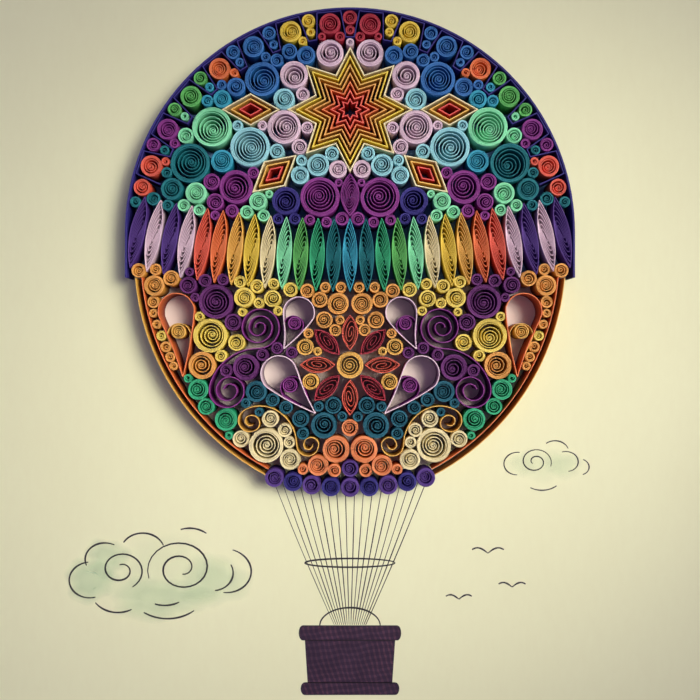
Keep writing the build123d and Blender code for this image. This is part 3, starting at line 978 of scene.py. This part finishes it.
pen = Drawing(INK_LIFT)
for shape in basket_shapes:
    pen.line(np.vstack([shape, shape[:1]]), OUTLINE_WIDTH)
mouth_low = mouth[:, 1].min() - MOUTH_GAP
run = np.linspace(0, 1, 24)
for share in np.linspace(-1, 1, ROPES):
    start = np.array([MOUTH_HALF * share, mouth_low + MOUTH_RISE * share ** 2])
    end = np.array([ROPE_FOOT_HALF * share, BASKET_TOP + 0.4])
    path = start + (end - start) * run[:, None]
    path[:, 0] += share * ROPE_SAG * np.sin(run * HALF_TURN)
    pen.line(path, chance.uniform(*ROPE_WIDTHS))
pen.line(oval(RING_HEIGHT, RING_HALF, RING_DEEP, FULL_TURN, 60), BOLD)
pen.line(oval(BASKET_TOP, HANDLE_HALF, HANDLE_RISE, HALF_TURN, 30), BOLD)
print("pen lines so far:", len(pen.places))

# %% [markdown]
# A cloud is a set of loose pen strokes, each a curl whose radius shrinks from one end to the other: long
# ones for the swirls, short ones for the bumps and the base. Patches of a thin wash lie under them and
# don't quite meet the lines, as a brush never does.

# %% Strokes and patches of a cloud
FLATTENED = 0.85
wash = Drawing(WASH_LIFT)


def stroke(centre, reach, start, turned, shrink):
    """Places at centre + reach (cos, 0.85 sin) of an angle in degrees; reach shrinks evenly along it."""
    run = np.linspace(0, 1, 44)
    turn = np.radians(start + turned * run)
    size = reach * (1 - shrink * run)
    return centre + np.column_stack([size * np.cos(turn), FLATTENED * size * np.sin(turn)])


def cloud(centre, size, strokes, patches):
    """Strokes as (x, y, reach, start, turned, shrink), and patches as (x, y, reach, flat, strength).
    A patch is an ellipse whose reach is rippled by two sines."""
    for x, y, reach, start, turned, shrink in strokes:
        middle = centre + np.array([x, y]) * size
        pen.line(stroke(middle, reach * size, start, turned, shrink), 0.2 + 0.5 * size)
    for x, y, reach, flat, strength in patches:
        turn = np.linspace(0, FULL_TURN, 40, endpoint=False)
        ripple = reach * size * (1 + 0.1 * np.sin(3 * turn + x) + 0.05 * np.sin(7 * turn))
        middle = centre + np.array([x, y]) * size
        loop = middle + np.column_stack([ripple * np.cos(turn), flat * ripple * np.sin(turn)])
        wash.fade(loop, middle, strength)


# %% Two clouds
cloud(np.array([-80.0, -92.0]), 1.14,
      [(9.0, 1.5, 12.5, 200, -640, 0.8), (-13.0, 1.0, 8.5, -60, 520, 0.75), (-5.0, 7.5, 8.0, 20, 130, 0.0),
       (-24.0, -3.0, 8.0, 95, 190, 0.1), (-19.0, 4.5, 7.5, 60, 140, 0.1), (25.0, 0.0, 10.0, 75, -170, 0.15),
       (20.0, -0.5, 8.0, 30, -110, 0.1), (-14.0, -6.0, 10.0, 215, 85, 0.0), (4.0, -4.0, 15.0, 235, 75, 0.0),
       (3.0, -3.0, 10.5, 250, 50, 0.0), (12.0, 8.0, 9.5, 50, 60, 0.0)],
      [(-24.0, -3.0, 10.0, 0.85, 1.0), (-18.0, 5.5, 8.5, 0.85, 0.8), (21.0, -3.0, 13.5, 0.75, 0.6),
       (1.0, -9.5, 20.0, 0.42, 0.7), (3.0, 1.0, 22.0, 0.6, 0.25)])
cloud(np.array([80.0, -46.5]), 0.68,
      [(-5.0, 0.5, 10.0, -20, 600, 0.8), (14.0, 0.0, 8.0, 110, -190, 0.2), (-16.0, -1.0, 8.5, 80, 190, 0.1),
       (-1.0, -5.0, 14.0, 240, 70, 0.0), (7.0, 6.0, 8.5, 20, 110, 0.0), (22.0, -3.0, 6.0, 70, -140, 0.1)],
      [(-14.0, -1.0, 11.0, 0.75, 0.25), (12.0, -2.0, 13.0, 0.65, 0.3), (0.0, -1.0, 20.0, 0.55, 0.3)])
print("wash patches:", len(wash.places), "pen lines so far:", len(pen.places))

# %% Birds
BIRDS = ((57.0, -84.0, 6.6), (67.0, -98.0, 5.6), (45.0, -103.0, 5.4))
share = np.linspace(0, 1, 16)
wing = 0.42 * np.sin(share * 2.2) - 0.12 * share
for x, y, reach in BIRDS:
    for side in (-1, 1):
        pen.line(np.column_stack([x + side * reach * share, y + reach * wing]), BOLD)
pen.build("drawn_lines", pen_ink)
wash.build("drawn_cloud_wash", cloud_wash)

# %% [markdown]
# ## Floor, light and camera
# The card lies on a pale floor. The light comes from the right, broad and soft, and throws the shadow of
# the balloon to the left. Half of it is even. The other half is a near lamp whose cone fades towards the
# corners of the card, as the light in a room does. A weak, cool sky fills the shadows.

# %% Floor
FLOOR_HALF = 3
FLOOR_LEVEL = -0.0003
corners = [(x * FLOOR_HALF, y * FLOOR_HALF, FLOOR_LEVEL) for x, y in ((-1, -1), (1, -1), (1, 1), (-1, 1))]
floor_mesh = bpy.data.meshes.new("floor")
floor_mesh.from_pydata(corners, [], [(0, 1, 2, 3)])
floor = bpy.data.objects.new("floor", floor_mesh)
recipe = Recipe("pale_floor")
floor_colour = recipe.blend(recipe.noise(3), dye(224, 228, 202), dye(232, 235, 208))
floor_mesh.materials.append(recipe.matt(floor_colour, 0.9))
bpy.context.scene.collection.objects.link(floor)
print("floor:", round(floor.dimensions.x, 1), "m wide")

# %% Lamp and sky


def lamp(name, kind, place, aim, power, colour, **settings):
    """A lamp at a place, turned to look at its aim."""
    data = bpy.data.lights.new(name, kind)
    data.energy = power
    data.color = colour
    for setting, value in settings.items():
        setattr(data, setting, value)
    light = bpy.data.objects.new(name, data)
    light.location = place
    light.rotation_mode = "QUATERNION"
    light.rotation_quaternion = (Vector(aim) - Vector(place)).to_track_quat("-Z", "Y")
    bpy.context.scene.collection.objects.link(light)
    print("lamp:", name, kind, power)


WARM = (1.0, 0.975, 0.82)
lamp("soft_key", "SUN", (0.612, 0.196, 0.766), (0.0, 0.0, 0.0), 1.48, WARM, angle=math.radians(38))
lamp("near_key", "AREA", (0.245, 0.078, 0.306), (0.0, -0.01, 0.0), 0.156, WARM,
     shape="DISK", size=0.288, spread=math.radians(36))
sky = bpy.data.worlds.new("sky")
sky.use_nodes = True
background = sky.node_tree.nodes["Background"]
background.inputs["Color"].default_value = (0.66, 0.62, 1.0, 1.0)
background.inputs["Strength"].default_value = 0.26
bpy.context.scene.world = sky

# %% [markdown]
# The camera looks straight down from close by, as a hand-held one does, so the walls of the coils show
# away from the middle of the picture. The lens follows from the width of card that fills the frame.

# %% Camera
SHOWN = 0.2894
HEIGHT = 0.3
SENSOR = 36.0
camera_data = bpy.data.cameras.new("camera")
camera_data.sensor_width = SENSOR
camera_data.lens = SENSOR * (HEIGHT - CARD_TOP * MM) / SHOWN
camera_data.clip_start = 0.01
camera = bpy.data.objects.new("camera", camera_data)
camera.location = (0.0, 0.0, HEIGHT)
bpy.context.scene.collection.objects.link(camera)
bpy.context.scene.camera = camera
bpy.context.scene.view_settings.view_transform = "Standard"
print("camera: lens", round(camera_data.lens, 1), "mm,", HEIGHT, "m above the floor")
